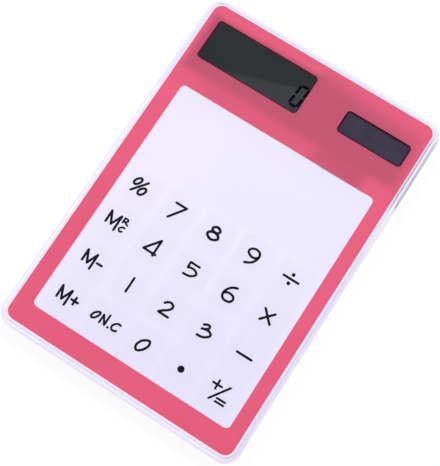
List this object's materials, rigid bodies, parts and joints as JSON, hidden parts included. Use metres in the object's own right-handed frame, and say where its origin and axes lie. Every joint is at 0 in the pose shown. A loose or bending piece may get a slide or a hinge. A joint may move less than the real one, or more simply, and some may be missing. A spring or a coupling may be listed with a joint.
{
  "type": "touchscreen calculator",
  "caption": "Slim flat desk calculator with a clear touch panel, a rose film frame, a segment display, a solar cell and a sliding battery door in a plinth on its back.",
  "frame": {"origin": "middle of the footprint, on the table plane that the pads and feet rest on", "axes": "+Y towards the display end, +Z out of the front, +X to the right as the keys are read"},
  "size_m": [0.082, 0.12, 0.0074],
  "materials": {
    "clear_plastic": "polished clear moulding with a faint lavender tint",
    "rose_film": "smooth printed film",
    "clear_film": "clear film",
    "electrode_film": "clear conductive coating",
    "amber_film": "smooth flexible circuit",
    "ivory_plastic": "moulded",
    "dark_polariser": "smooth grey-green film",
    "display_glass": "polished, with ground edges",
    "seal_resin": "cured resin",
    "silver_polariser": "silvered film",
    "black_plastic": "fine moulded texture",
    "contact_rubber": "layered silicone rubber",
    "cell_glass": "polished, with ground edges",
    "silicon": "smooth dark coating",
    "tinned_wire": "tinned",
    "board_laminate": "green lacquer",
    "chip_resin": "poured resin",
    "capacitor_body": "fired ceramic with tinned ends",
    "screw_steel": "zinc plated",
    "cell_steel": "nickel plated",
    "spring_bronze": "rolled strip",
    "white_plastic": "fine moulded texture",
    "pad_rubber": "soft rubber",
    "clear_rubber": "clear soft rubber"
  },
  "bodies": {
    "calculator": {"rear_case": "clear_plastic", "front_lens": "clear_plastic", "colour_film": "rose_film", "lens_tape": "clear_film", "touch_film": "clear_film", "key_electrodes": "electrode_film", "touch_tail": "amber_film", "tail_socket": "ivory_plastic", "front_polariser": "dark_polariser", "front_glass": "display_glass", "glass_seal": "seal_resin", "rear_glass": "display_glass", "rear_polariser": "silver_polariser", "display_holder": "black_plastic", "contact_strip": "contact_rubber", "solar_glass": "cell_glass", "solar_strips": "silicon", "solar_leads": "tinned_wire", "circuit_board": "board_laminate", "chip_drop": "chip_resin", "chip_capacitors": "capacitor_body", "board_screws": "screw_steel", "button_cell": "cell_steel", "positive_contact": "spring_bronze", "negative_contact": "spring_bronze", "bay_cover": "white_plastic", "cover_screws": "screw_steel", "cover_pads": "pad_rubber", "case_feet": "clear_rubber"},
    "door": {"battery_door": "white_plastic"}
  },
  "joints": [
    {"name": "battery_door_slide", "type": "slide", "parent": "calculator", "child": "door", "axis": [0, -1, 0], "range_m": [0, 0.016]}
  ]
}
